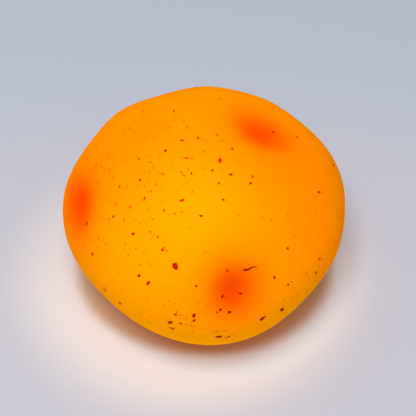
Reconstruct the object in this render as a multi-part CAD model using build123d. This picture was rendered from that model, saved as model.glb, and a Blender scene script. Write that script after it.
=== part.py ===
from build123d import *
import os
from math import acos, atan2, cos, exp, pi, radians, sin, sqrt

# Stress ball: a soft moulded skin filled with a heavy gel, sagged under its own weight.
# Millimetres and degrees, +Z up. The origin is on the surface it rests on, under the middle
# of the ball. A direction on the ball is an azimuth (from +X towards +Y) and an elevation,
# both seen from the belly centre.

# --- the sagged form ---
girth_d = 69.2        # widest diameter, at the belly
belly_z = 23.5        # height of the widest level
crown_rise = 28.5     # from the belly up to the crown
foot_d = 32.0         # flat patch that the ball stands on
foot_round = 14.0     # radius where the side turns into the foot
foot_fade = 6.0       # height over which the dents die out towards the foot
wall = 2.0            # skin thickness
film = 0.2            # oil film between the skin and the filling

# --- where a hand has pressed it: azimuth, elevation, depth, spread (degrees) ---
finger_dents = [(195, 23, 2.0, 17), (17, 61, 2.0, 17), (281, 20, 2.0, 17)]
palm_flats = [
    (218, -26, 2.0, 38), (326, -23, 1.9, 31), (112, 36, 1.5, 24), (155, 18, 0.7, 21),
    (40, 27, 1.0, 21), (71, 38, 1.6, 22), (354, -5, 0.8, 18),
]

# --- the filling port under the foot ---
port_d = 6.0          # bore that the ball is filled through
collar_d = 20.0       # thickened ring of skin round the bore, on the inside
collar_h = 2.0        # its height above the inner floor
patch_d = 16.0        # disc bonded over the port
patch_t = 0.6
patch_lift = 0.3      # how far the disc stays above the surface the ball rests on
patch_gap = 0.1       # round the disc, in its recess
head_d = 9.0          # stopper's head
head_t = 0.8
barb_d = 8.6          # stopper's barb, inside the ball
barb_tip_d = 4.0
barb_h = 2.6
port_gap = 0.05       # round the stopper's stem and above the collar

# --- pigment chips cast into the face of the skin ---
chip_t = 0.3          # thickness of a chip
chip_proud = 0.05     # how far its face stands above the skin
chips = [             # azimuth, elevation, diameter
    (257, 28, 1.5), (247, 18.5, 1.0), (242.5, 20, 0.7), (293, 72.5, 1.0), (253.5, 54, 0.8),
    (267.5, 48.5, 0.6), (208, 69.5, 0.7), (204, 78.5, 0.7), (232, 85, 0.6), (339, 84, 0.6),
    (322, 74.5, 0.6), (240.5, 73, 0.6), (297, 64.5, 0.7), (308.5, 57, 0.7), (313.5, 59, 0.6),
    (283, 62, 0.6), (283.5, 54.5, 0.6), (229, 48.5, 0.6), (217, 53, 0.6), (210, 45, 0.6),
    (219.5, 35, 0.6), (233.5, 34, 0.7), (250, 33, 0.6), (218.5, 16, 0.8), (206.5, 21.5, 0.9),
    (266.5, 20.5, 0.7), (284.5, 14.5, 0.6), (277, 14.5, 0.6), (280, 25, 0.6), (276, 9.5, 0.7),
    (279.5, 8, 0.8), (266, 8, 0.9), (266, 5.5, 0.7), (257, 2.5, 1.1), (257.5, -1.5, 1.0),
    (259, 7.5, 0.7), (261, 3, 0.7), (275, -5, 1.2), (279, -6, 0.7), (292, 1.5, 1.2),
    (300.5, 1.5, 1.2), (319, 8, 0.8), (308.5, 27, 0.7), (299, 18.5, 0.7), (322, 13, 0.8),
    (304, 13, 0.6), (16, 55, 0.8), (227, 3, 0.8), (235, 1, 0.8), (73, 65, 0.6),
    (132.5, 68.5, 0.6), (144, 53, 0.6), (255, 66.5, 0.6), (279, 68.5, 0.6), (11.5, 45, 0.6),
    (6.5, 23, 0.7), (60, 18, 0.8), (95, 34, 0.9), (140, 22, 0.8), (172, 4, 0.8),
    (28, -4, 0.9), (108, -8, 0.8), (342, 32, 0.7),
]
streak_place = (290, 24.5)   # azimuth and elevation of the streak of pigment
streak_l = 3.3             # its length
streak_w = 0.5             # width at its thick end
streak_bend = 0.25         # sideways swing of its S curve

loft_sections = 18    # rings between the foot and the crown
crown_gap = 0.35      # from one last ring to the crown, as a share of the rings' spacing
ring_points = 32      # spline points in each ring
loft_tolerance = 0.001
plane_step = 0.01     # turn, in radians, used to find the face's slope at a chip
streak_points = 24    # spline points round the streak
streak_taper = 0.7    # 0 is even, 1 ends in a point
collar_root = 1.0     # how far the collar runs into the floor it grows from

# --- sizes that follow ---
girth_r = girth_d / 2
belly_drop = belly_z / sqrt(1 - (foot_d / girth_d) ** 2)  # lower semi-axis, cut off by the foot
belly_centre = Vector(0, 0, belly_z)
head_z = patch_lift + patch_t              # underside of the stopper's head, top of the disc
roof_z = head_z + head_t                   # roof of the recess under the foot
collar_top = wall + collar_h
stem_top = collar_top + port_gap


def direction(azimuth, elevation):
    """Unit vector from the belly centre, from angles in degrees."""
    az, el = radians(azimuth), radians(elevation)
    return Vector(cos(el) * cos(az), cos(el) * sin(az), sin(el))


pressed = [(direction(az, el), depth, radians(spread))
           for az, el, depth, spread in finger_dents + palm_flats]


def ball_point(azimuth, slope, inset):
    """Point on the pressed form, inset from its face. Both angles are in radians, and slope
    runs from 0 at the bottom pole to pi at the crown."""
    semi_axis = belly_drop if slope < pi / 2 else crown_rise
    radius = (girth_r - inset) * sin(slope)
    height = belly_z - (semi_axis - inset) * cos(slope)
    place = Vector(radius * cos(azimuth), radius * sin(azimuth), height)
    outward = (place - belly_centre).normalized()
    rise = min(1, max(0, (height - inset) / foot_fade))
    fade = rise * rise * (3 - 2 * rise)
    push = 0
    for middle, depth, spread in pressed:
        turn = (acos(max(-1, min(1, outward.dot(middle)))) / spread) ** 2
        push += depth * (1 - turn) * exp(-turn)  # a hollow with a low rim round it
    return place - outward * (push * fade)


def ball(inset):
    """The whole form as a solid, its face moved in by inset, its foot flat."""
    foot_slope = acos((belly_z - inset) / (belly_drop - inset))
    rings = []
    steps = [i / loft_sections for i in range(loft_sections)] + [1 - crown_gap / loft_sections]
    for i, step in enumerate(steps):
        slope = foot_slope + (pi - foot_slope) * step
        points = [ball_point(2 * pi * k / ring_points, slope, inset) for k in range(ring_points)]
        if i == 0:
            points = [Vector(p.X, p.Y, inset) for p in points]
        rings.append(Wire([Edge.make_spline(points, periodic=True)]))
    crown = Vertex(*ball_point(0, pi, inset))
    return Solid.make_loft(rings + [crown])


def disc(diameter, bottom, top):
    """Upright cylinder on the port's axis."""
    return extrude(Plane.XY.offset(bottom) * Circle(diameter / 2), top - bottom)


def face_plane(azimuth, elevation):
    """Plane that touches the form's face: X along the azimuth, Z outward."""
    az, el = radians(azimuth), radians(elevation)
    semi_axis = belly_drop if el < 0 else crown_rise
    slope = atan2(cos(el) / girth_r, -sin(el) / semi_axis)
    along = ball_point(az + plane_step, slope, 0) - ball_point(az - plane_step, slope, 0)
    upward = ball_point(az, slope + plane_step, 0) - ball_point(az, slope - plane_step, 0)
    return Plane(origin=ball_point(az, slope, 0), x_dir=along, z_dir=along.cross(upward))


def chip(azimuth, elevation, diameter):
    """Round chip of pigment, standing chip_proud above the skin."""
    plane = face_plane(azimuth, elevation).offset(chip_proud - chip_t)
    return extrude(plane * Circle(diameter / 2), chip_t)


def streak():
    """Tapered S-shaped sliver of pigment, thick at its left end."""
    edge_points = []
    for i in range(streak_points):
        turn = 2 * pi * i / streak_points
        along = cos(turn)                                   # 1 at the thin end, -1 at the thick
        half_width = streak_w / 2 * (1 - streak_taper * along) / (1 + streak_taper)
        sway = streak_bend * sin(pi * along)
        edge_points.append((streak_l / 2 * along, sway + half_width * sin(turn)))
    outline = make_face(Edge.make_spline([Vector(x, y) for x, y in edge_points], periodic=True))
    plane = face_plane(*streak_place).offset(chip_proud - chip_t)
    return extrude(plane * outline, chip_t)


def skin(pigment):
    """Moulded skin: one closed shell with the filling port and a pocket for each chip."""
    outer = ball(0)
    foot_rim = outer.edges().filter_by(lambda edge: edge.bounding_box().max.Z < loft_tolerance)
    shell = outer.fillet(foot_round, foot_rim) - ball(wall)
    shell += disc(collar_d, wall - collar_root, collar_top)
    shell -= disc(patch_d + 2 * patch_gap, 0, roof_z)
    shell -= disc(port_d, 0, collar_top)
    return shell - pigment


def filling():
    """Gel filling: the skin's inside, kept one film away from the skin and the stopper."""
    gel = ball(wall + film)
    gel -= disc(collar_d + 2 * film, 0, collar_top + film)
    return gel - barb(film)


def barb(clearance):
    """Stopper's barb, a cone that narrows into the ball; clearance is added all round."""
    return loft([
        Plane.XY.offset(stem_top - clearance) * Circle(barb_d / 2 + clearance),
        Plane.XY.offset(stem_top + barb_h + clearance) * Circle(barb_tip_d / 2 + clearance),
    ])


def port_stopper():
    """Mushroom plug: head in the recess, stem through the bore, barb inside the ball."""
    head = disc(head_d, head_z, roof_z)
    stem = disc(port_d - 2 * port_gap, roof_z, stem_top)
    return head + stem + barb(0)


def glue_ring():
    """Cured adhesive round the stopper's head, from the bonded disc to the recess roof."""
    return disc(patch_d, head_z, roof_z) - disc(head_d, head_z, roof_z)


def seal_patch():
    """Disc bonded over the stopper, clear of the surface that the ball rests on."""
    return disc(patch_d, patch_lift, head_z)


pigment_flecks = [chip(*place) for place in chips]
pigment_streak = streak()
pieces = {
    "skin": skin(pigment_flecks + [pigment_streak]),
    "filling": filling(),
    "port_stopper": port_stopper(),
    "glue_ring": glue_ring(),
    "seal_patch": seal_patch(),
    "pigment_flecks": Compound(pigment_flecks),
    "pigment_streak": pigment_streak,
}

# The dents leave the form a little off centre, so everything moves until the skin's box
# stands centred on the origin.
middle = pieces["skin"].bounding_box().center()
os.makedirs("parts", exist_ok=True)
for name, piece in pieces.items():
    export_step(Pos(-middle.X, -middle.Y, 0) * piece, f"parts/{name}.step")
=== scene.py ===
import math
import bmesh
import bpy
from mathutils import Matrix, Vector


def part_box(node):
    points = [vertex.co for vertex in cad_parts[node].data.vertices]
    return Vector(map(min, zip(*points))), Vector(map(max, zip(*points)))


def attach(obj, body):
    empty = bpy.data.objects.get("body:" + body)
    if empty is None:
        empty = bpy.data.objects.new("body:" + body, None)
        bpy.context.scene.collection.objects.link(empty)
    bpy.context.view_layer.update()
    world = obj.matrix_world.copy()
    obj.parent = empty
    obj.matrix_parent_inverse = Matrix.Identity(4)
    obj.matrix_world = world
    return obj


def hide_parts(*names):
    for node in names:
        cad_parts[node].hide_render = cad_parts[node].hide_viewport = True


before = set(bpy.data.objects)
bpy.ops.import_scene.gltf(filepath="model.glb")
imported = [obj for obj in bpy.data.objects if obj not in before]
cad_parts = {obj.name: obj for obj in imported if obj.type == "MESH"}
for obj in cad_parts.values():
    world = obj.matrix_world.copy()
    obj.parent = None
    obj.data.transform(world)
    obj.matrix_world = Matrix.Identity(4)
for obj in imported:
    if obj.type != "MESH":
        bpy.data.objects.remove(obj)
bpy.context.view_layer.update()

# Stress ball: a translucent amber skin over red gel, sagged on a desk, with pigment chips in
# its face and a plugged filling port underneath. Metres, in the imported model's frame.

MM = 0.001

# --- the sagged form: the same rule and sizes as the moulded skin ---
GIRTH = 69.2 * MM          # widest diameter, at the belly
BELLY_Z = 23.5 * MM        # height of the widest level
CROWN_RISE = 28.5 * MM     # from the belly up to the crown
FOOT_D = 32.0 * MM         # flat patch that the ball stands on
FOOT_FADE = 6.0 * MM       # height over which the dents die out
HEEL = 1.3 * MM            # softness of the turn from the side into the foot
RIPPLE = 0.12 * MM         # slow unevenness of the hand-worked surface
RIPPLE_SCALE = 55.0        # how close together its waves are
SEGMENTS = 288             # faces round the ball
RINGS = 190                # rows of points from the rim of the port to the crown

# Azimuth, elevation, depth and spread of each pressed place, seen from the belly's centre.
FINGER_DENTS = [(195, 23, 2.0, 17), (17, 61, 2.0, 17), (281, 20, 2.0, 17)]
PALM_FLATS = [
    (218, -26, 2.0, 38), (326, -23, 1.9, 31), (112, 36, 1.5, 24), (155, 18, 0.7, 21),
    (40, 27, 1.0, 21), (71, 38, 1.6, 22), (354, -5, 0.8, 18),
]

# --- the filling port, read from its nodes ---
patch_low, patch_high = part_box("seal_patch")
stopper_low, stopper_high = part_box("port_stopper")
glue_low, glue_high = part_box("glue_ring")
PATCH_R = (patch_high.x - patch_low.x) / 2
PORT_X = (patch_high.x + patch_low.x) / 2
PORT_Y = (patch_high.y + patch_low.y) / 2
ROOF_Z = glue_high.z
RECESS_R = PATCH_R + 0.1 * MM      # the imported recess; the wall drawn here is a lip inside it
BORE_R = 3.0 * MM
BORE_TOP = 4.0 * MM        # inner end of the bore
LIP = 0.25 * MM            # rounded rim of the recess
PATCH_RIM = 0.22 * MM      # rounding of the disc's lower edge
PATCH_EASE = 0.02 * MM     # bevel of its upper edge
# The disc's dished lower face: share of its radius, and how far it is drawn up there.
PATCH_DISH = [(0, 0.12 * MM), (0.45, 0.11 * MM), (0.72, 0.04 * MM), (0.86, 0)]
BEAD_RISE = 0.25 * MM      # lowest point of the adhesive's bead, above the disc's lower face
BEAD_OUT = 0.045 * MM      # that point, out from the disc's edge
BEAD_INNER = 0.015 * MM    # gap between the disc's edge and the bead
BEAD_OUTER = 0.01 * MM     # how far the bead's outer side stays inside RECESS_R
BEAD_INNER_LIFT = 0.1 * MM     # how far the bead draws up at the disc
BEAD_OUTER_LIFT = 0.06 * MM    # how far it draws up at its outer side

WELD = 0.002 * MM          # points nearer than this are one
BELLY = Vector((PORT_X, PORT_Y, BELLY_Z))      # centre of the belly, above the port

# --- pigment ---
CHIP_SIDES = 9
FINE_SIDES = 7
CHIP_T = 0.3 * MM          # thickness of a chip
CHIP_FACE = 0.82           # width of a chip's face, over the width of its root
CHIP_PROUD = 0.04 * MM     # how far a chip's face stands above the skin
FINE_PROUD = 0.02 * MM
CHIP_SEED = 3
FINE_SEED = 11
TEAR_SCALE = 1900.0        # size of the tears in a chip's edge
FINE_PER_M2 = 150000.0     # fine chips where they lie thickest
CHIP_SPREAD = 1.2          # width of a ragged chip's outline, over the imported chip's
# Where fine chips gather: azimuth, elevation and spread of each cloud.
CLOUDS = [(208, 68, 40), (220, 42, 32), (262, 2, 26), (316, 12, 20)]
STREAK_AT = (290, 24.5)    # azimuth and elevation of the streak
STREAK_L = 3.45 * MM
STREAK_W = 0.66 * MM       # at its thick end
STREAK_TAPER = 0.5         # 0 is even, 1 ends in a point
STREAK_BLUNT = 6           # how square its ends are: 2 is an oval
STREAK_BEND = 0.25 * MM    # sideways swing of its S curve
STREAK_PROUD = 0.05 * MM   # how far its back stands above the skin
STREAK_TINT = 0.3          # its shade, from dark at 0 to bright at 1
STREAK_STEPS = 28
STREAK_SIDES = 12

# --- colours ---
AMBER = (1.0, 0.245, 0.0, 1)
AMBER_DEEP = (1.0, 0.215, 0.0, 1)
# Painted light and shade: the pale amber is painted where the front lamp falls brightest, and the
# shaded amber is painted darker down the right side.
AMBER_PAINTED_LIT = (1.0, 0.42, 0.0, 1)
AMBER_SHADED = (0.74, 0.235, 0.0, 1)
BLUSH_RED = (1.0, 0.055, 0.0, 1)
# Red of the lower pressed place, also painted darker for the shade that falls on that side.
BLUSH_RED_PAINTED_SHADE = (0.70, 0.045, 0.0, 1)
BLUSH_ORANGE = (1.0, 0.20, 0.0, 1)
# Painted light: the skin's emission stands in for light carried through the rubber, the more so on
# the underside.
SKIN_GLOW_PAINTED = (0.4, 0.02, 0.0, 1)
SKIN_UNDERGLOW_PAINTED = (0.65, 0.17, 0.0, 1)
PAINTED_GLOW_STRENGTH = 0.5
UNDER_START = 0.2          # upward part of the outward direction where the underside's
UNDER_FULL = -0.4          # glow starts, and where it is full
SCATTER = (1.0, 0.45, 0.12)    # relative reach of red, green and blue light in the rubber
PIGMENT_DARK = (0.28, 0.006, 0.0, 1)
PIGMENT_BRIGHT = (0.70, 0.02, 0.0, 1)
FAINT_DARK = (0.42, 0.03, 0.0, 1)
FAINT_BRIGHT = (0.72, 0.13, 0.0, 1)
DESK_FAR = (0.467, 0.519, 0.604, 1)
DESK_NEAR = (0.51, 0.53, 0.605, 1)
# Painted light: the warm pool and the bright ring round the ball are painted into the desk's
# colour.
DESK_WARM_PAINTED_LIGHT = (0.70, 0.71, 0.72, 1)
DESK_LIT = (0.65, 0.73, 0.77, 1)
# Painted shadow: the amber contact shadow under the ball's overhang, tinted with the ball's orange
# light.
DESK_PAINTED_SHADOW = (0.50, 0.39, 0.25, 1)
DESK_SPECK = (0.2, 0.2, 0.22, 1)
# Redder pressed places, and patches of painted light and shade: pale amber where the lamp falls
# brightest, shaded amber down the right side.
# Azimuth, elevation, lean from level, half length, half width, edge power, colour, strength.
BLUSHES_AND_PAINTED_LIGHT = [
    (268, 38, 90, 42, 28, 1.0, AMBER_PAINTED_LIT, 0.95), (234, 20, 0, 28, 28, 1.0, AMBER_PAINTED_LIT, 0.7),
    (300, 6, 0, 26, 28, 1.0, AMBER_PAINTED_LIT, 0.38), (262, -12, 0, 40, 20, 1.0, AMBER_PAINTED_LIT, 0.45),
    (354, 8, 90, 40, 22, 1.0, AMBER_SHADED, 0.85), (22, 36, 60, 30, 15, 1.0, AMBER_SHADED, 0.6),
    (194, 20, 0, 24, 20, 1.1, BLUSH_ORANGE, 0.7), (194, 20, 0, 14, 11, 1.3, BLUSH_RED, 0.95),
    (12, 62, 59, 22, 20, 1.1, BLUSH_ORANGE, 0.7), (12, 62, 59, 13, 11, 1.3, BLUSH_RED, 0.95),
    (282, 17, 90, 22, 18, 1.1, BLUSH_ORANGE, 0.7), (282, 17, 90, 11, 9, 1.2, BLUSH_RED_PAINTED_SHADE, 0.9),
]

# --- the desk, and the light that the ball throws on it, painted into the desk's colour ---
DESK_HALF = 3.0            # from its middle to each side
NEAR_TO_Y = 20 * MM        # the near tone holds up to here
FAR_FROM_Y = 80 * MM       # the far tone holds past here
GLOW_MIDDLE = Vector((-4 * MM, 2 * MM, 0))     # middle of the wide warm glow, painted on the desk
GLOW_FULL = 34 * MM        # full strength within this distance
GLOW_REACH = 54 * MM       # gone past this one
GLOW_FULL_Y = -20 * MM     # full strength in front of here
GLOW_END_Y = 60 * MM       # gone behind here
LIT_MIDDLE = Vector((4 * MM, -1 * MM, 0))      # middle of the bright ring of painted light close to the ball
LIT_FULL = 30 * MM         # brightest within this distance
LIT_REACH = 36 * MM        # gone past this one
PAINTED_SHADOW_FULL = 24.5 * MM     # painted amber shadow within this distance, where the ball overhangs
PAINTED_SHADOW_REACH = 28.5 * MM    # gone past this one
PAINTED_SHADOW_SQUASH = 0.8         # under 1, the painted shadow is longer from side to side
SPECK_SCALE = 900.0        # fineness of the desk's grain
SPECK_SHARE = 0.04         # strength of that grain

# --- lights ---
LAMP_FROM = (256, 69)      # azimuth and elevation of the softbox
LAMP_DISTANCE = 0.66
LAMP_SIZE = 0.25
LAMP_WATTS = 3.4
LAMP_COLOUR = (1.0, 0.98, 0.96)
ROOM_COLOUR = (0.95, 0.96, 1.0, 1)
ROOM_STRENGTH = 0.46

# --- camera ---
LENS = 97.6
CAMERA_ELEVATION = 50.0
CAMERA_DISTANCE = 280 * MM
CAMERA_RIGHT = 0.69 * MM   # how far its aim lies right of the belly's centre
CAMERA_UP = 0.9 * MM       # and above it


def direction(azimuth, elevation):
    """Unit vector from the belly's centre, from angles in degrees."""
    az, el = math.radians(azimuth), math.radians(elevation)
    return Vector((math.cos(el) * math.cos(az), math.cos(el) * math.sin(az), math.sin(el)))


def east_and_north(middle):
    """The two level directions at a place on the ball: round it to the east, and up it."""
    east = Vector((-middle.y, middle.x, 0)).normalized()
    return east, middle.cross(east)


# ---------------------------------------------------------------- node helpers

def pick(sockets, name):
    """The socket in use with that name, or the socket of that number."""
    if isinstance(name, int):
        return sockets[name]
    return next(s for s in sockets if s.name == name and s.enabled)


def join(tree, value, socket):
    """Links a value that is a socket, or sets a plain one."""
    if isinstance(value, bpy.types.NodeSocket):
        tree.links.new(value, socket)
    else:
        socket.default_value = value


def add(tree, kind, inputs=None, **settings):
    """A new node of a tree, with its settings and its inputs, by name or number."""
    node = tree.nodes.new(kind)
    for name, value in settings.items():
        setattr(node, name, value)
    for name, value in (inputs or {}).items():
        join(tree, value, pick(node.inputs, name))
    return node


def out(tree, kind, inputs=None, output=0, **settings):
    """As add, but gives the node's output, by name or number."""
    return pick(add(tree, kind, inputs, **settings).outputs, output)


def calc(tree, operation, *values):
    """Output of a Math node; values are numbers or sockets."""
    return out(tree, "ShaderNodeMath", dict(enumerate(values)), operation=operation)


def vec(tree, operation, first, second=None):
    """Output of a Vector Math node: its value where it has one, or else its vector."""
    node = add(tree, "ShaderNodeVectorMath", {0: first}, operation=operation)
    if second is not None:
        join(tree, second, node.inputs["Scale"] if operation == "SCALE" else node.inputs[1])
    scalar = operation in ("DOT_PRODUCT", "LENGTH")
    return node.outputs["Value" if scalar else "Vector"]


def xyz(tree, x=0.0, y=0.0, z=0.0):
    """Vector from three numbers or sockets."""
    return out(tree, "ShaderNodeCombineXYZ", {"X": x, "Y": y, "Z": z})


def place_of(tree):
    """Each point's place, inside geometry nodes."""
    return out(tree, "GeometryNodeInputPosition")


def height_of(tree, place):
    """Z of a place."""
    return out(tree, "ShaderNodeSeparateXYZ", {0: place}, "Z")


def ramp(tree, value, low, high, to_low=0.0, to_high=1.0, smooth=True):
    """value mapped from one span to another, held at both ends."""
    return out(tree, "ShaderNodeMapRange", {
        "Value": value, "From Min": low, "From Max": high, "To Min": to_low, "To Max": to_high,
    }, "Result", interpolation_type="SMOOTHSTEP" if smooth else "LINEAR")


def new_tree(name, kind, inputs, outputs):
    """A node group with named inputs (name, socket type, value) and outputs (name, type)."""
    tree = bpy.data.node_groups.new(name, kind)
    for label, socket, value in inputs:
        made = tree.interface.new_socket(label, in_out="INPUT", socket_type=socket)
        if value is not None:
            made.default_value = value
    for label, socket in outputs:
        tree.interface.new_socket(label, in_out="OUTPUT", socket_type=socket)
    return tree, tree.nodes.new("NodeGroupInput"), tree.nodes.new("NodeGroupOutput")


def use(tree, group, inputs=None, output=0):
    """Places a node group in a tree and gives one of its outputs."""
    kind = "ShaderNodeGroup" if tree.bl_idname == "ShaderNodeTree" else "GeometryNodeGroup"
    node = tree.nodes.new(kind)
    node.node_tree = group
    for name, value in (inputs or {}).items():
        join(tree, value, node.inputs[name])
    return node.outputs[output]


# ------------------------------------------------------- geometry node groups

def press_group():
    """Moves points inward round one pressed direction, with a low rim round the hollow."""
    tree, given, result = new_tree(
        "pressed_place", "GeometryNodeTree",
        [("Geometry", "NodeSocketGeometry", None), ("Centre", "NodeSocketVector", None),
         ("Middle", "NodeSocketVector", None), ("Depth", "NodeSocketFloat", 2 * MM),
         ("Spread", "NodeSocketFloat", 0.3), ("Fade Height", "NodeSocketFloat", FOOT_FADE)],
        [("Geometry", "NodeSocketGeometry")])
    resting = out(tree, "GeometryNodeInputNamedAttribute", {"Name": "resting"},
                  data_type="FLOAT_VECTOR")
    outward = vec(tree, "NORMALIZE", vec(tree, "SUBTRACT", resting, given.outputs["Centre"]))
    toward = vec(tree, "DOT_PRODUCT", outward, given.outputs["Middle"])
    angle = calc(tree, "ARCCOSINE", calc(tree, "MINIMUM", toward, 1.0))
    turn = calc(tree, "POWER", calc(tree, "DIVIDE", angle, given.outputs["Spread"]), 2.0)
    falloff = calc(tree, "EXPONENT", calc(tree, "MULTIPLY", turn, -1.0))
    hollow = calc(tree, "MULTIPLY", calc(tree, "SUBTRACT", 1.0, turn), falloff)
    fade = ramp(tree, height_of(tree, resting), 0.0, given.outputs["Fade Height"])
    push = calc(tree, "MULTIPLY", calc(tree, "MULTIPLY", hollow, fade), given.outputs["Depth"])
    moved = vec(tree, "SUBTRACT", place_of(tree), vec(tree, "SCALE", outward, push))
    bent = out(tree, "GeometryNodeSetPosition",
               {"Geometry": given.outputs["Geometry"], "Position": moved})
    tree.links.new(bent, result.inputs[0])
    return tree


def port_group():
    """Draws the open rim under the ball up into the port: lip, recess wall, roof and bore."""
    tree, given, result = new_tree(
        "filling_port", "GeometryNodeTree",
        [("Geometry", "NodeSocketGeometry", None), ("Lip", "NodeSocketFloat", LIP),
         ("Roof Height", "NodeSocketFloat", ROOF_Z), ("Recess Radius", "NodeSocketFloat", RECESS_R),
         ("Bore Radius", "NodeSocketFloat", BORE_R), ("Bore Top", "NodeSocketFloat", BORE_TOP)],
        [("Geometry", "NodeSocketGeometry")])
    lip, roof = given.outputs["Lip"], given.outputs["Roof Height"]
    recess, bore = given.outputs["Recess Radius"], given.outputs["Bore Radius"]
    bore_top = given.outputs["Bore Top"]
    grown = given.outputs["Geometry"]
    picked = out(tree, "FunctionNodeCompare", {
        "A": out(tree, "GeometryNodeInputMeshEdgeNeighbors"), "B": 1,
    }, data_type="INT", operation="EQUAL")
    # Radius and height of each step: the lip in two, the recess wall, its bevelled top corner,
    # the roof, the bore and its closed end. The wall stands one lip inside Recess Radius, so
    # the outer edges of the disc and of the adhesive run a little way into it.
    steps = [
        (calc(tree, "SUBTRACT", recess, calc(tree, "MULTIPLY", lip, 0.7)),
         calc(tree, "MULTIPLY", lip, 0.3)),
        (calc(tree, "SUBTRACT", recess, lip), lip),
        (calc(tree, "SUBTRACT", recess, lip), calc(tree, "SUBTRACT", roof, lip)),
        (calc(tree, "SUBTRACT", recess, calc(tree, "MULTIPLY", lip, 2.0)), roof),
        (bore, roof), (bore, bore_top), (0.0, bore_top),
    ]
    for radius, height in steps:
        drawn = add(tree, "GeometryNodeExtrudeMesh",
                    {"Mesh": grown, "Selection": picked, "Offset Scale": 0.0}, mode="EDGES")
        picked = drawn.outputs["Top"]
        flat = vec(tree, "MULTIPLY", place_of(tree), (1.0, 1.0, 0.0))
        spoke = vec(tree, "SCALE", vec(tree, "NORMALIZE", flat), radius)
        grown = out(tree, "GeometryNodeSetPosition", {
            "Geometry": drawn.outputs["Mesh"], "Selection": picked,
            "Position": vec(tree, "ADD", spoke, xyz(tree, z=height))})
    tree.links.new(grown, result.inputs[0])
    return tree


def ripple(tree, body, depth, fade_height):
    """Slow unevenness over the skin, gone at the foot."""
    place = place_of(tree)
    wave = out(tree, "ShaderNodeTexNoise",
               {"Vector": place, "Scale": RIPPLE_SCALE, "Detail": 1.0})
    fade = ramp(tree, height_of(tree, place), 0.0, fade_height)
    push = calc(tree, "MULTIPLY", calc(tree, "SUBTRACT", wave, 0.5),
                calc(tree, "MULTIPLY", depth, fade))
    lift = vec(tree, "SCALE", out(tree, "GeometryNodeInputNormal"), push)
    return out(tree, "GeometryNodeSetPosition", {"Geometry": body, "Offset": lift})


def ball_tree(material):
    """The whole skin by rule: a grid wrapped into a sagged ball, pressed, its port drawn in."""
    places = [("Finger", *dent) for dent in FINGER_DENTS] + [("Palm", *flat) for flat in PALM_FLATS]
    sizes = [("Girth", GIRTH), ("Belly Height", BELLY_Z), ("Crown Rise", CROWN_RISE),
             ("Foot Width", FOOT_D), ("Heel", HEEL), ("Rim Radius", RECESS_R + LIP),
             ("Fade Height", FOOT_FADE), ("Ripple", RIPPLE)]
    sizes += [(f"{hand} {i} Depth", depth * MM)
              for i, (hand, az, el, depth, spread) in enumerate(places)]
    inputs = [(name, "NodeSocketFloat", value) for name, value in sizes]
    inputs += [("Segments", "NodeSocketInt", SEGMENTS), ("Rings", "NodeSocketInt", RINGS)]
    tree, given, result = new_tree("sagged_ball", "GeometryNodeTree", inputs,
                                   [("Geometry", "NodeSocketGeometry")])
    size = given.outputs
    radius = calc(tree, "MULTIPLY", size["Girth"], 0.5)
    share = calc(tree, "POWER", calc(tree, "DIVIDE", size["Foot Width"], size["Girth"]), 2.0)
    drop = calc(tree, "DIVIDE", size["Belly Height"],
                calc(tree, "SQRT", calc(tree, "SUBTRACT", 1.0, share)))
    grid = out(tree, "GeometryNodeMeshGrid", {
        "Size X": 1.0, "Size Y": 1.0, "Vertices X": calc(tree, "ADD", size["Segments"], 1.0),
        "Vertices Y": size["Rings"]}, "Mesh")
    # Across the grid is the turn round the ball; up the grid is the slope, from the rim of the
    # port to the crown.
    across = add(tree, "ShaderNodeSeparateXYZ", {0: place_of(tree)})
    turn = calc(tree, "MULTIPLY", calc(tree, "ADD", across.outputs["X"], 0.5), 2 * math.pi)
    rim = calc(tree, "ARCSINE", calc(tree, "DIVIDE", size["Rim Radius"], radius))
    slope = ramp(tree, across.outputs["Y"], -0.5, 0.5, rim, math.pi, smooth=False)
    below = calc(tree, "LESS_THAN", slope, math.pi / 2)
    semi = out(tree, "ShaderNodeMix", {"Factor": below, "A": size["Crown Rise"], "B": drop})
    spoke = calc(tree, "MULTIPLY", radius, calc(tree, "SINE", slope))
    height = calc(tree, "SUBTRACT", size["Belly Height"],
                  calc(tree, "MULTIPLY", semi, calc(tree, "COSINE", slope)))
    wrapped = xyz(tree, calc(tree, "MULTIPLY", spoke, calc(tree, "COSINE", turn)),
                  calc(tree, "MULTIPLY", spoke, calc(tree, "SINE", turn)),
                  calc(tree, "SMOOTH_MAX", height, 0.0, size["Heel"]))
    body = out(tree, "GeometryNodeSetPosition", {"Geometry": grid, "Position": wrapped})
    body = out(tree, "GeometryNodeMergeByDistance", {"Geometry": body, "Distance": WELD})
    body = out(tree, "GeometryNodeStoreNamedAttribute", {
        "Geometry": body, "Name": "resting", "Value": place_of(tree),
    }, data_type="FLOAT_VECTOR", domain="POINT")
    press = press_group()
    for i, (hand, az, el, depth, spread) in enumerate(places):
        body = use(tree, press, {
            "Geometry": body, "Centre": xyz(tree, z=size["Belly Height"]),
            "Middle": direction(az, el), "Depth": size[f"{hand} {i} Depth"],
            "Spread": math.radians(spread), "Fade Height": size["Fade Height"]})
    body = ripple(tree, body, size["Ripple"], size["Fade Height"])
    body = use(tree, port_group(), {"Geometry": body})
    body = out(tree, "GeometryNodeMergeByDistance", {"Geometry": body, "Distance": WELD})
    body = out(tree, "GeometryNodeRemoveAttribute", {"Geometry": body, "Name": "resting"})
    body = out(tree, "GeometryNodeTransform",
               {"Geometry": body, "Translation": (PORT_X, PORT_Y, 0.0)})
    finish_tree(tree, body, material, result)
    return tree


def finish_tree(tree, body, material, result):
    """Smooth shading, real geometry and the material, as every tree here ends."""
    body = out(tree, "GeometryNodeSetShadeSmooth", {"Geometry": body})
    body = out(tree, "GeometryNodeRealizeInstances", {"Geometry": body})
    body = out(tree, "GeometryNodeSetMaterial", {"Geometry": body, "Material": material})
    tree.links.new(body, result.inputs[0])


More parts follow.
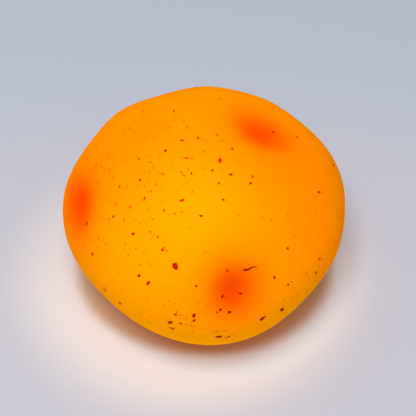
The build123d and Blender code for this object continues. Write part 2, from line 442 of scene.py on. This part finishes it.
def random(tree, low, high, seed, stream):
    """A seeded random number for each point; stream keeps one use apart from another."""
    mixed = calc(tree, "ADD", calc(tree, "MULTIPLY", seed, 16.0), float(stream))
    return out(tree, "FunctionNodeRandomValue", {"Min": low, "Max": high, "Seed": mixed},
               "Value", data_type="FLOAT")


def chip_group():
    """Turns points on the skin into ragged flat chips that lie in it. Each chip keeps a tint
    from 0 to 1 for its colour."""
    tree, given, result = new_tree(
        "pigment_chip", "GeometryNodeTree",
        [("Points", "NodeSocketGeometry", None), ("Rotation", "NodeSocketRotation", None),
         ("Size", "NodeSocketFloat", 1 * MM), ("Sides", "NodeSocketInt", CHIP_SIDES),
         ("Thickness", "NodeSocketFloat", CHIP_T), ("Proud", "NodeSocketFloat", CHIP_PROUD),
         ("Longest", "NodeSocketFloat", 1.4), ("Raggedness", "NodeSocketFloat", 0.5),
         ("Seed", "NodeSocketInt", CHIP_SEED)],
        [("Geometry", "NodeSocketGeometry")])
    size, seed, thickness = (given.outputs[name] for name in ("Size", "Seed", "Thickness"))
    cap = out(tree, "GeometryNodeMeshCylinder", {
        "Vertices": given.outputs["Sides"], "Side Segments": 1, "Fill Segments": 2,
        "Radius": 0.5, "Depth": 1.0}, "Mesh", fill_type="TRIANGLE_FAN")
    # A chip narrows to its upper face, and sinks until only its upper face stands proud.
    place = place_of(tree)
    up = height_of(tree, place)
    waist = ramp(tree, up, -0.5, 0.5, 1.0, CHIP_FACE, smooth=False)
    sunk = calc(tree, "ADD", calc(tree, "MULTIPLY", calc(tree, "SUBTRACT", up, 0.5), thickness),
                given.outputs["Proud"])
    shaped = vec(tree, "ADD", vec(tree, "MULTIPLY", place, xyz(tree, waist, waist)),
                 xyz(tree, z=sunk))
    cap = out(tree, "GeometryNodeSetPosition", {"Geometry": cap, "Position": shaped})
    spin = out(tree, "FunctionNodeAxisAngleToRotation", {
        "Axis": (0.0, 0.0, 1.0), "Angle": random(tree, 0.0, 2 * math.pi, seed, 1)})
    turned = out(tree, "FunctionNodeRotateRotation", {
        "Rotation": given.outputs["Rotation"], "Rotate By": spin}, rotation_space="LOCAL")
    stretch = random(tree, 1.0, given.outputs["Longest"], seed, 2)
    scale = xyz(tree, calc(tree, "MULTIPLY", size, stretch),
                calc(tree, "DIVIDE", size, stretch), 1.0)
    points = given.outputs["Points"]
    for name, value in (("tint", random(tree, 0.0, 1.0, seed, 3)), ("reach", size)):
        points = out(tree, "GeometryNodeStoreNamedAttribute", {
            "Geometry": points, "Name": name, "Value": value}, data_type="FLOAT", domain="POINT")
    laid = out(tree, "GeometryNodeInstanceOnPoints", {
        "Points": points, "Instance": cap, "Rotation": turned, "Scale": scale})
    real = out(tree, "GeometryNodeRealizeInstances", {"Geometry": laid})
    # Each chip's outline is torn sideways by a fine noise, never up or down.
    where = place_of(tree)
    torn = out(tree, "ShaderNodeTexNoise",
               {"Vector": where, "Scale": TEAR_SCALE, "Detail": 0.0}, "Color")
    reach = out(tree, "GeometryNodeInputNamedAttribute", {"Name": "reach"}, data_type="FLOAT")
    shift = vec(tree, "SCALE", vec(tree, "SUBTRACT", torn, (0.5, 0.5, 0.5)),
                calc(tree, "MULTIPLY", reach, given.outputs["Raggedness"]))
    outward = vec(tree, "NORMALIZE", vec(tree, "SUBTRACT", where, BELLY))
    lift = vec(tree, "SCALE", outward, vec(tree, "DOT_PRODUCT", shift, outward))
    ragged = out(tree, "GeometryNodeSetPosition", {
        "Geometry": real, "Offset": vec(tree, "SUBTRACT", shift, lift)})
    ragged = out(tree, "GeometryNodeRemoveAttribute", {"Geometry": ragged, "Name": "reach"})
    tree.links.new(ragged, result.inputs[0])
    return tree


def placed_chips_tree(material, chip):
    """Chips at given points, which hold a facing and a size each."""
    tree, given, result = new_tree(
        "placed_chips", "GeometryNodeTree",
        [("Geometry", "NodeSocketGeometry", None), ("Longest", "NodeSocketFloat", 1.5),
         ("Raggedness", "NodeSocketFloat", 0.5), ("Seed", "NodeSocketInt", CHIP_SEED)],
        [("Geometry", "NodeSocketGeometry")])
    facing = out(tree, "GeometryNodeInputNamedAttribute", {"Name": "facing"},
                 data_type="FLOAT_VECTOR")
    width = out(tree, "GeometryNodeInputNamedAttribute", {"Name": "width"}, data_type="FLOAT")
    laid = out(tree, "FunctionNodeAlignRotationToVector", {"Vector": facing}, axis="Z")
    chips = use(tree, chip, {
        "Points": given.outputs["Geometry"], "Rotation": laid, "Size": width,
        "Longest": given.outputs["Longest"], "Raggedness": given.outputs["Raggedness"],
        "Seed": given.outputs["Seed"]})
    finish_tree(tree, chips, material, result)
    return tree


def scattered_chips_tree(material, chip):
    """Fine chips scattered over the skin it is given, thick round some directions."""
    tree, given, result = new_tree(
        "scattered_chips", "GeometryNodeTree",
        [("Geometry", "NodeSocketGeometry", None),
         ("Per Square Metre", "NodeSocketFloat", FINE_PER_M2),
         ("Background", "NodeSocketFloat", 0.16), ("Smallest", "NodeSocketFloat", 0.22 * MM),
         ("Largest", "NodeSocketFloat", 0.6 * MM), ("Lowest", "NodeSocketFloat", 2 * MM),
         ("Seed", "NodeSocketInt", FINE_SEED)],
        [("Geometry", "NodeSocketGeometry")])
    place = place_of(tree)
    outward = vec(tree, "NORMALIZE", vec(tree, "SUBTRACT", place, BELLY))
    thick = given.outputs["Background"]
    for azimuth, elevation, spread in CLOUDS:
        near = vec(tree, "DOT_PRODUCT", outward, direction(azimuth, elevation))
        edge = math.cos(math.radians(spread))
        thick = calc(tree, "ADD", thick, ramp(tree, near, edge, 1.0))
    above = calc(tree, "GREATER_THAN", height_of(tree, place), given.outputs["Lowest"])
    density = calc(tree, "MULTIPLY", calc(tree, "MULTIPLY", thick, above),
                   given.outputs["Per Square Metre"])
    spread_out = add(tree, "GeometryNodeDistributePointsOnFaces", {
        "Mesh": given.outputs["Geometry"], "Density": density, "Seed": given.outputs["Seed"]})
    draw = random(tree, 0.0, 1.0, given.outputs["Seed"], 7)
    size = ramp(tree, calc(tree, "POWER", draw, 2.0), 0.0, 1.0, given.outputs["Smallest"],
                given.outputs["Largest"], smooth=False)
    chips = use(tree, chip, {
        "Points": spread_out.outputs["Points"], "Rotation": spread_out.outputs["Rotation"],
        "Size": size, "Sides": FINE_SIDES, "Proud": FINE_PROUD, "Seed": given.outputs["Seed"]})
    finish_tree(tree, chips, material, result)
    return tree


# ------------------------------------------------------------ shader node groups

def grain_group():
    """Fine matte grain of moulded rubber: a roughness and a height for a Bump node."""
    tree, given, result = new_tree(
        "moulded_grain", "ShaderNodeTree",
        [("Vector", "NodeSocketVector", None), ("Scale", "NodeSocketFloat", 2400.0),
         ("Roughness", "NodeSocketFloat", 0.5), ("Variation", "NodeSocketFloat", 0.1)],
        [("Roughness", "NodeSocketFloat"), ("Height", "NodeSocketFloat")])
    grain = out(tree, "ShaderNodeTexNoise", {
        "Vector": given.outputs["Vector"], "Scale": given.outputs["Scale"], "Detail": 3.0})
    # A far wider unevenness, from handling.
    handled = out(tree, "ShaderNodeTexNoise", {
        "Vector": given.outputs["Vector"],
        "Scale": calc(tree, "MULTIPLY", given.outputs["Scale"], 0.035), "Detail": 4.0})
    swing = calc(tree, "MULTIPLY", calc(tree, "SUBTRACT", handled, 0.5), given.outputs["Variation"])
    rough = calc(tree, "ADD", given.outputs["Roughness"], calc(tree, "MULTIPLY", swing, 2.0))
    height = calc(tree, "ADD", calc(tree, "MULTIPLY", grain, 0.7),
                  calc(tree, "MULTIPLY", handled, 0.3))
    tree.links.new(rough, result.inputs["Roughness"])
    tree.links.new(height, result.inputs["Height"])
    return tree


def cloud_group():
    """Two colours mixed by a slow noise, as pigment that never quite blended."""
    tree, given, result = new_tree(
        "uneven_colour", "ShaderNodeTree",
        [("Vector", "NodeSocketVector", None), ("Colour", "NodeSocketColor", None),
         ("Second Colour", "NodeSocketColor", None), ("Scale", "NodeSocketFloat", 60.0),
         ("Low", "NodeSocketFloat", 0.4), ("High", "NodeSocketFloat", 0.7)],
        [("Colour", "NodeSocketColor")])
    cloud = out(tree, "ShaderNodeTexNoise", {
        "Vector": given.outputs["Vector"], "Scale": given.outputs["Scale"], "Detail": 3.0})
    share = ramp(tree, cloud, given.outputs["Low"], given.outputs["High"])
    mixed = blend(tree, share, given.outputs["Colour"], given.outputs["Second Colour"])
    tree.links.new(mixed, result.inputs[0])
    return tree


def blend(tree, share, first, second):
    """Colour that goes from first to second as share goes from 0 to 1."""
    return out(tree, "ShaderNodeMix", {"Factor": share, "A": first, "B": second}, "Result",
               data_type="RGBA")


def blush_and_light_patch_group():
    """Mask of one oval patch on the ball, used for the pressed places and for the patches of
    painted
    light and shade: an oval round Middle, Length along Along and Width across it, both in radians,
    with an uneven edge."""
    tree, given, result = new_tree(
        "blush_and_painted_light_patch", "ShaderNodeTree",
        [("Vector", "NodeSocketVector", None), ("Middle", "NodeSocketVector", None),
         ("Along", "NodeSocketVector", None), ("Across", "NodeSocketVector", None),
         ("Length", "NodeSocketFloat", 0.4), ("Width", "NodeSocketFloat", 0.3),
         ("Power", "NodeSocketFloat", 1.0), ("Wander", "NodeSocketFloat", 0.06)],
        [("Mask", "NodeSocketFloat")])
    outward = vec(tree, "NORMALIZE", vec(tree, "SUBTRACT", given.outputs["Vector"], BELLY))
    wander = out(tree, "ShaderNodeTexNoise",
                 {"Vector": outward, "Scale": 3.0, "Detail": 2.0}, "Color")
    moved = vec(tree, "ADD", outward, vec(
        tree, "SCALE", vec(tree, "SUBTRACT", wander, (0.5, 0.5, 0.5)), given.outputs["Wander"]))
    # The oval shows on its own side of the ball only, not on the far side too.
    facing = vec(tree, "DOT_PRODUCT", outward, given.outputs["Middle"])
    front = calc(tree, "GREATER_THAN", facing, 0.0)
    square = None
    for axis, reach in (("Along", "Length"), ("Across", "Width")):
        part = calc(tree, "DIVIDE", vec(tree, "DOT_PRODUCT", moved, given.outputs[axis]),
                    given.outputs[reach])
        part = calc(tree, "MULTIPLY", part, part)
        square = part if square is None else calc(tree, "ADD", square, part)
    falloff = calc(tree, "EXPONENT", calc(
        tree, "MULTIPLY", calc(tree, "POWER", square, given.outputs["Power"]), -1.0))
    tree.links.new(calc(tree, "MULTIPLY", falloff, front), result.inputs[0])
    return tree


# -------------------------------------------------------------------- materials

def new_material(name):
    """A material with a Principled shader: the tree, the shader and its object coordinates."""
    material = bpy.data.materials.new(name)
    material.use_nodes = True
    tree = material.node_tree
    shader = tree.nodes["Principled BSDF"]
    place = tree.nodes.new("ShaderNodeTexCoord").outputs["Object"]
    return material, tree, shader, place


def set_plain(shader, values):
    """Sets values that are the same all over, on the shader's own sockets."""
    for name, value in values.items():
        shader.inputs[name].default_value = value


def give_grain(tree, shader, place, scale, roughness, variation, depth):
    """Joins the shared grain to a shader: its roughness, and its bump of that depth."""
    node = add(tree, "ShaderNodeGroup")
    node.node_tree = GRAIN
    for name, value in (("Vector", place), ("Scale", scale), ("Roughness", roughness),
                        ("Variation", variation)):
        join(tree, value, node.inputs[name])
    bump = add(tree, "ShaderNodeBump", {"Height": node.outputs["Height"], "Distance": depth})
    tree.links.new(node.outputs["Roughness"], shader.inputs["Roughness"])
    tree.links.new(bump.outputs["Normal"], shader.inputs["Normal"])


def skin_material():
    """Translucent amber rubber with a painted glow, redder where the filling is pressed against it,
    with paler amber painted where the lamp falls brightest and darker amber painted down the right
    side for shade.
    """
    material, tree, shader, place = new_material("amber_skin")
    colour = use(tree, CLOUD, {
        "Vector": place, "Colour": AMBER, "Second Colour": AMBER_DEEP, "Scale": 45.0,
        "Low": 0.42, "High": 0.78})
    for azimuth, elevation, lean, length, width, power, shade, strength in BLUSHES_AND_PAINTED_LIGHT:
        middle = direction(azimuth, elevation)
        east, north = east_and_north(middle)
        turn = math.radians(lean)
        along = east * math.cos(turn) + north * math.sin(turn)
        mask = use(tree, BLUSH_AND_LIGHT_MASK, {
            "Vector": place, "Middle": middle, "Along": along, "Across": middle.cross(along),
            "Length": math.radians(length), "Width": math.radians(width), "Power": power})
        colour = blend(tree, calc(tree, "MULTIPLY", mask, strength), colour, shade)
    tree.links.new(colour, shader.inputs["Base Color"])
    give_grain(tree, shader, place, scale=2400.0, roughness=0.52, variation=0.08,
               depth=0.02 * MM)
    # No specular reflection: any at all puts a pale haze on the rim.
    set_plain(shader, {
        "Specular IOR Level": 0.0, "Specular Tint": (1.0, 0.55, 0.1, 1),
        "Subsurface Weight": 0.7, "Subsurface Radius": SCATTER, "Subsurface Scale": 4 * MM,
        "Emission Strength": PAINTED_GLOW_STRENGTH})
    # Painted light: the underside's emission is stronger, standing in for the light that the desk
    # sends back into it.
    outward = vec(tree, "NORMALIZE", vec(tree, "SUBTRACT", place, BELLY))
    under = ramp(tree, height_of(tree, outward), UNDER_START, UNDER_FULL)
    tree.links.new(blend(tree, under, SKIN_GLOW_PAINTED, SKIN_UNDERGLOW_PAINTED), shader.inputs["Emission Color"])
    return material


def pigment_material(name, dark, bright):
    """Chips of pigment, each its own shade between dark and bright."""
    material, tree, shader, place = new_material(name)
    tint = out(tree, "ShaderNodeAttribute", output="Fac", attribute_name="tint")
    shade = blend(tree, tint, dark, bright)
    colour = use(tree, CLOUD, {
        "Vector": place, "Colour": shade, "Second Colour": dark, "Scale": 900.0,
        "Low": 0.45, "High": 0.8})
    tree.links.new(colour, shader.inputs["Base Color"])
    give_grain(tree, shader, place, scale=5200.0, roughness=0.6, variation=0.1,
               depth=0.01 * MM)
    set_plain(shader, {"Specular IOR Level": 0.04, "Specular Tint": (1.0, 0.4, 0.1, 1)})
    return material


def rubber_material(name, colour, second, roughness, subsurface):
    """Plainer moulded pieces: uneven colour over the shared grain."""
    material, tree, shader, place = new_material(name)
    mixed = use(tree, CLOUD, {
        "Vector": place, "Colour": colour, "Second Colour": second, "Scale": 240.0})
    tree.links.new(mixed, shader.inputs["Base Color"])
    give_grain(tree, shader, place, scale=2400.0, roughness=roughness, variation=0.12,
               depth=0.02 * MM)
    set_plain(shader, {
        "Specular IOR Level": 0.3, "Subsurface Weight": subsurface,
        "Subsurface Radius": SCATTER, "Subsurface Scale": 2 * MM})
    return material


# ----------------------------------------------------------------------- pieces

def new_object(name, mesh):
    """An object at the origin, its place in its mesh."""
    piece = bpy.data.objects.new(name, mesh)
    bpy.context.scene.collection.objects.link(piece)
    return piece


def grow(name, tree, mesh, settings):
    """Runs a geometry tree on a mesh and gives the result as a plain piece."""
    piece = new_object(name, mesh)
    modifier = piece.modifiers.new("grow", "NODES")
    modifier.node_group = tree
    sockets = {s.name: s.identifier for s in tree.interface.items_tree if s.in_out == "INPUT"}
    for label, value in settings.items():
        modifier[sockets[label]] = value
    bpy.context.view_layer.update()
    seen = piece.evaluated_get(bpy.context.evaluated_depsgraph_get())
    made = bpy.data.meshes.new_from_object(seen)
    piece.modifiers.clear()
    piece.data = made
    made.name = name
    bpy.data.meshes.remove(mesh)
    # The empty slot of the mesh that it grew from goes.
    for i in reversed(range(len(made.materials))):
        if made.materials[i] is None:
            made.materials.pop(index=i)
    return piece


def turn_outward(mesh):
    """Points every face outward."""
    shape = bmesh.new()
    shape.from_mesh(mesh)
    bmesh.ops.recalc_face_normals(shape, faces=shape.faces)
    shape.to_mesh(mesh)
    shape.free()


def make_skin():
    """The skin, grown from its tree."""
    settings = {"Girth": GIRTH, "Belly Height": BELLY_Z, "Crown Rise": CROWN_RISE,
                "Foot Width": FOOT_D, "Ripple": RIPPLE}
    piece = grow("skin_of_ball", ball_tree(skin_material()), bpy.data.meshes.new("seed"), settings)
    turn_outward(piece.data)
    return piece


def on_skin(skin, near):
    """The skin's outer face in line with a place, seen from the belly's centre: where, and
    which way it faces."""
    outward = (near - BELLY).normalized()
    return skin.ray_cast(BELLY + outward * GIRTH, -outward)[1:3]


def chip_places(skin):
    """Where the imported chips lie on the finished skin: place, facing and width of each."""
    shape = bmesh.new()
    shape.from_mesh(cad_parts["pigment_flecks"].data)
    bmesh.ops.remove_doubles(shape, verts=shape.verts, dist=WELD)
    shape.verts.index_update()
    shape.verts.ensure_lookup_table()
    found, left = [], set(range(len(shape.verts)))
    while left:
        island, edge = [], [left.pop()]
        while edge:
            point = shape.verts[edge.pop()]
            island.append(point.co.copy())
            beyond = {e.other_vert(point).index for e in point.link_edges} & left
            left -= beyond
            edge += sorted(beyond)
        middle = sum(island, Vector()) / len(island)
        reach = max((corner - middle).length for corner in island)
        width = 2 * math.sqrt(max(reach ** 2 - (CHIP_T / 2) ** 2, 0))
        found.append((middle.copy(), width))
    shape.free()
    found.sort(key=lambda chip: (-round(chip[1] / WELD), chip[0].x, chip[0].y))
    placed = []
    for middle, width in found:
        place, normal = on_skin(skin, middle)
        placed.append((place, normal, width * CHIP_SPREAD))
    return placed


def point_mesh(places):
    """A mesh of loose points that carry a facing and a width each."""
    mesh = bpy.data.meshes.new("points")
    mesh.from_pydata([place for place, normal, size in places], [], [])
    mesh.attributes.new("facing", "FLOAT_VECTOR", "POINT")
    mesh.attributes.new("width", "FLOAT", "POINT")
    for i, (place, normal, size) in enumerate(places):
        mesh.attributes["facing"].data[i].vector = normal
        mesh.attributes["width"].data[i].value = size
    return mesh


def close_rings(shape, rings):
    """Faces between neighbouring rings of points; a ring may be one point. Where the first is
    more than a point, the last joins it."""
    loop = rings[1:] + (rings[:1] if len(rings[0]) > 1 else [])
    sides = max(len(ring) for ring in rings)
    for lower, upper in zip(rings, loop):
        for i in range(sides):
            corners = [lower[i % len(lower)], lower[(i + 1) % len(lower)],
                       upper[(i + 1) % len(upper)], upper[i % len(upper)]]
            shape.faces.new(list(dict.fromkeys(corners)))
    bmesh.ops.recalc_face_normals(shape, faces=shape.faces)
    for face in shape.faces:
        face.smooth = True


def piece_from(name, shape, material):
    """A piece from a finished bmesh, which is freed."""
    mesh = bpy.data.meshes.new(name)
    shape.to_mesh(mesh)
    shape.free()
    mesh.materials.append(material)
    return new_object(name, mesh)


def lathe(name, profile, material, segments=96):
    """A closed piece turned about the port's axis, from points of radius and height that run
    from the axis round to the axis, or round a ring and back to the start."""
    shape = bmesh.new()
    rings = []
    for radius, height in profile:
        if radius == 0:
            rings.append([shape.verts.new((PORT_X, PORT_Y, height))])
            continue
        ring = []
        for i in range(segments):
            turn = 2 * math.pi * i / segments
            ring.append(shape.verts.new((PORT_X + radius * math.cos(turn),
                                         PORT_Y + radius * math.sin(turn), height)))
        rings.append(ring)
    close_rings(shape, rings)
    return piece_from(name, shape, material)


def round_corner(radius, height, size, start, steps=5):
    """Points round one convex corner of a profile: a quarter turn of that size."""
    points = []
    for i in range(steps + 1):
        turn = math.radians(start + 90 * i / steps)
        points.append((radius + size * math.cos(turn), height + size * math.sin(turn)))
    return points


def make_patch(material):
    """Disc bonded over the port: dished a little in the middle, with a rounded rim."""
    low, high = patch_low.z, patch_high.z
    profile = [(PATCH_R * share, low + rise) for share, rise in PATCH_DISH]
    profile += round_corner(PATCH_R - PATCH_RIM, low + PATCH_RIM, PATCH_RIM, -90)
    profile += [(PATCH_R, high - PATCH_EASE), (PATCH_R - PATCH_EASE, high),
                (PATCH_R * 0.5, high), (0, high)]
    return lathe("seal_disc", profile, material)


def make_glue(material):
    """Ring of adhesive, with the bead that squeezed out round the disc's edge."""
    low, high = glue_low.z, glue_high.z
    inner = (stopper_high.x - stopper_low.x) / 2
    outer = RECESS_R - BEAD_OUTER
    beside = PATCH_R + BEAD_INNER
    bead = patch_low.z + BEAD_RISE
    profile = [(inner, low), (beside, low), (beside, bead + BEAD_INNER_LIFT),
               (PATCH_R + BEAD_OUT, bead), (outer, bead + BEAD_OUTER_LIFT),
               (outer, high), (inner, high)]
    return lathe("glue_bead", profile, material)


def make_streak(skin, material):
    """Tapered S-shaped sliver of pigment, thick at its left end, half sunk in the skin."""
    middle = direction(*STREAK_AT)
    east, north = east_and_north(middle)
    shape = bmesh.new()
    rings = []
    for i in range(STREAK_STEPS + 1):
        along = -math.cos(math.pi * i / STREAK_STEPS)         # -1 thick end, 1 thin end
        sway = STREAK_BEND * math.sin(math.pi * along)
        slant = 2 * math.pi * STREAK_BEND / STREAK_L * math.cos(math.pi * along)
        body = (1 - STREAK_TAPER * math.sin(math.pi / 2 * along)) / (1 + STREAK_TAPER)
        half = STREAK_W / 2 * body * math.sqrt(max(1 - along ** STREAK_BLUNT, 0))
        spot = BELLY + middle * GIRTH / 2 + east * STREAK_L / 2 * along + north * sway
        place, normal = on_skin(skin, spot)
        if half < WELD:
            rings.append([shape.verts.new(place)])
            continue
        side = normal.cross(east + north * slant).normalized()
        ring = []
        for k in range(STREAK_SIDES):
            turn = 2 * math.pi * k / STREAK_SIDES
            ring.append(shape.verts.new(place + side * half * math.cos(turn)
                                        + normal * STREAK_PROUD * math.sin(turn)))
        rings.append(ring)
    close_rings(shape, rings)
    piece = piece_from("streak_of_pigment", shape, material)
    piece.data.attributes.new("tint", "FLOAT", "POINT")
    for value in piece.data.attributes["tint"].data:
        value.value = STREAK_TINT
    return piece


def finish_piece(piece, slot, *nodes):
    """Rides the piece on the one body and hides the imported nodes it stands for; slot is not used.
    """
    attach(piece, "root")
    if nodes:
        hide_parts(*nodes)


# ------------------------------------------------------------------------ stage

def floor_material():
    """Matte grey desk, cooler at the far side, with painted light where the ball throws its light
    and a painted amber shadow under it.
    """
    material, tree, shader, place = new_material("pale_desk")
    away = vec(tree, "LENGTH", vec(tree, "SUBTRACT", place, GLOW_MIDDLE))
    near = ramp(tree, away, GLOW_REACH, GLOW_FULL)
    depth = out(tree, "ShaderNodeSeparateXYZ", {0: place}, "Y")
    front = ramp(tree, depth, GLOW_END_Y, GLOW_FULL_Y)
    mixed = blend(tree, ramp(tree, depth, NEAR_TO_Y, FAR_FROM_Y), DESK_NEAR, DESK_FAR)
    mixed = blend(tree, calc(tree, "MULTIPLY", near, front), mixed, DESK_WARM_PAINTED_LIGHT)
    close = vec(tree, "LENGTH", vec(tree, "SUBTRACT", place, LIT_MIDDLE))
    mixed = blend(tree, ramp(tree, close, LIT_REACH, LIT_FULL), mixed, DESK_LIT)
    # The painted amber shadow is an oval, longer from side to side.
    oval = vec(tree, "LENGTH", vec(tree, "MULTIPLY", place, (PAINTED_SHADOW_SQUASH, 1.0, 0.0)))
    mixed = blend(tree, ramp(tree, oval, PAINTED_SHADOW_REACH, PAINTED_SHADOW_FULL), mixed, DESK_PAINTED_SHADOW)
    speck = out(tree, "ShaderNodeTexNoise",
                {"Vector": place, "Scale": SPECK_SCALE, "Detail": 2.0})
    share = calc(tree, "MULTIPLY", calc(tree, "SUBTRACT", speck, 0.5), SPECK_SHARE)
    mixed = blend(tree, share, mixed, DESK_SPECK)
    tree.links.new(mixed, shader.inputs["Base Color"])
    set_plain(shader, {"Roughness": 0.9, "Specular IOR Level": 0.1})
    return material


def make_floor():
    """The desk, one flat face under the ball."""
    mesh = bpy.data.meshes.new("desk")
    corners = [(-1, -1), (1, -1), (1, 1), (-1, 1)]
    mesh.from_pydata([(x * DESK_HALF, y * DESK_HALF, 0) for x, y in corners], [], [(0, 1, 2, 3)])
    mesh.materials.append(floor_material())
    floor = new_object("desk", mesh)


def area_light(name, place, aim, size, watts, colour):
    """Soft square lamp that faces a point."""
    lamp = bpy.data.lights.new(name, "AREA")
    lamp.size = size
    lamp.energy = watts
    lamp.color = colour
    holder = bpy.data.objects.new(name, lamp)
    holder.location = place
    holder.rotation_euler = (Vector(aim) - Vector(place)).to_track_quat("-Z", "Y").to_euler()
    bpy.context.scene.collection.objects.link(holder)


def make_lights():
    """One softbox high in front, and an even pale room."""
    area_light("softbox", BELLY + LAMP_DISTANCE * direction(*LAMP_FROM), BELLY, LAMP_SIZE,
               LAMP_WATTS, LAMP_COLOUR)
    world = bpy.data.worlds.new("studio")
    bpy.context.scene.world = world
    world.use_nodes = True
    lit = world.node_tree.nodes["Background"]
    lit.inputs["Color"].default_value = ROOM_COLOUR
    lit.inputs["Strength"].default_value = ROOM_STRENGTH


def make_camera():
    """Looks down at the ball from the front."""
    scene = bpy.context.scene
    lens = bpy.data.cameras.new("camera")
    lens.sensor_width = 36.0
    lens.lens = LENS
    lens.clip_start, lens.clip_end = 0.01, 20.0
    holder = bpy.data.objects.new("camera", lens)
    rise = math.radians(CAMERA_ELEVATION)
    back = Vector((0, -math.cos(rise), math.sin(rise)))
    up = Vector((0, math.sin(rise), math.cos(rise)))
    aim = BELLY + Vector((CAMERA_RIGHT, 0, 0)) + up * CAMERA_UP
    holder.location = aim + back * CAMERA_DISTANCE
    holder.rotation_euler = (-back).to_track_quat("-Z", "Y").to_euler()
    scene.collection.objects.link(holder)
    scene.camera = holder
    scene.view_settings.view_transform = "Standard"


# ------------------------------------------------------------------------ build

GRAIN, CLOUD, BLUSH_AND_LIGHT_MASK = grain_group(), cloud_group(), blush_and_light_patch_group()
skin = make_skin()
chip = chip_group()
dark_red = pigment_material("dark_red_pigment", PIGMENT_DARK, PIGMENT_BRIGHT)
faint_red = pigment_material("faint_pigment", FAINT_DARK, FAINT_BRIGHT)
placed = placed_chips_tree(dark_red, chip)
flecks = grow("flecks", placed, point_mesh(chip_places(skin)), {"Seed": CHIP_SEED})
fine = grow("fine_flecks", scattered_chips_tree(faint_red, chip), skin.data.copy(),
            {"Per Square Metre": FINE_PER_M2, "Seed": FINE_SEED})
streak = make_streak(skin, dark_red)
patch = make_patch(rubber_material(
    "patch_rubber", (0.94, 0.30, 0.01, 1), (0.80, 0.20, 0.0, 1), roughness=0.5, subsurface=0.5))
glue = make_glue(rubber_material(
    "cured_adhesive", (0.80, 0.52, 0.16, 1), (0.70, 0.40, 0.10, 1), roughness=0.25,
    subsurface=0.3))
for node, name, colour, second, roughness in [
        ("filling", "red_gel", (0.72, 0.06, 0.004, 1), (0.85, 0.14, 0.01, 1), 0.3),
        ("port_stopper", "stopper_plastic", (0.88, 0.26, 0.02, 1), (0.78, 0.20, 0.01, 1), 0.45)]:
    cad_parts[node].material_slots[0].material = rubber_material(
        name, colour, second, roughness, subsurface=0.4)
finish_piece(skin, "skin", "skin")
finish_piece(flecks, "pigment_flecks", "pigment_flecks")
finish_piece(fine, "pigment_flecks")
finish_piece(streak, "pigment_streak", "pigment_streak")
finish_piece(patch, "seal_patch", "seal_patch")
finish_piece(glue, "glue_ring", "glue_ring")
make_floor()
make_lights()
make_camera()
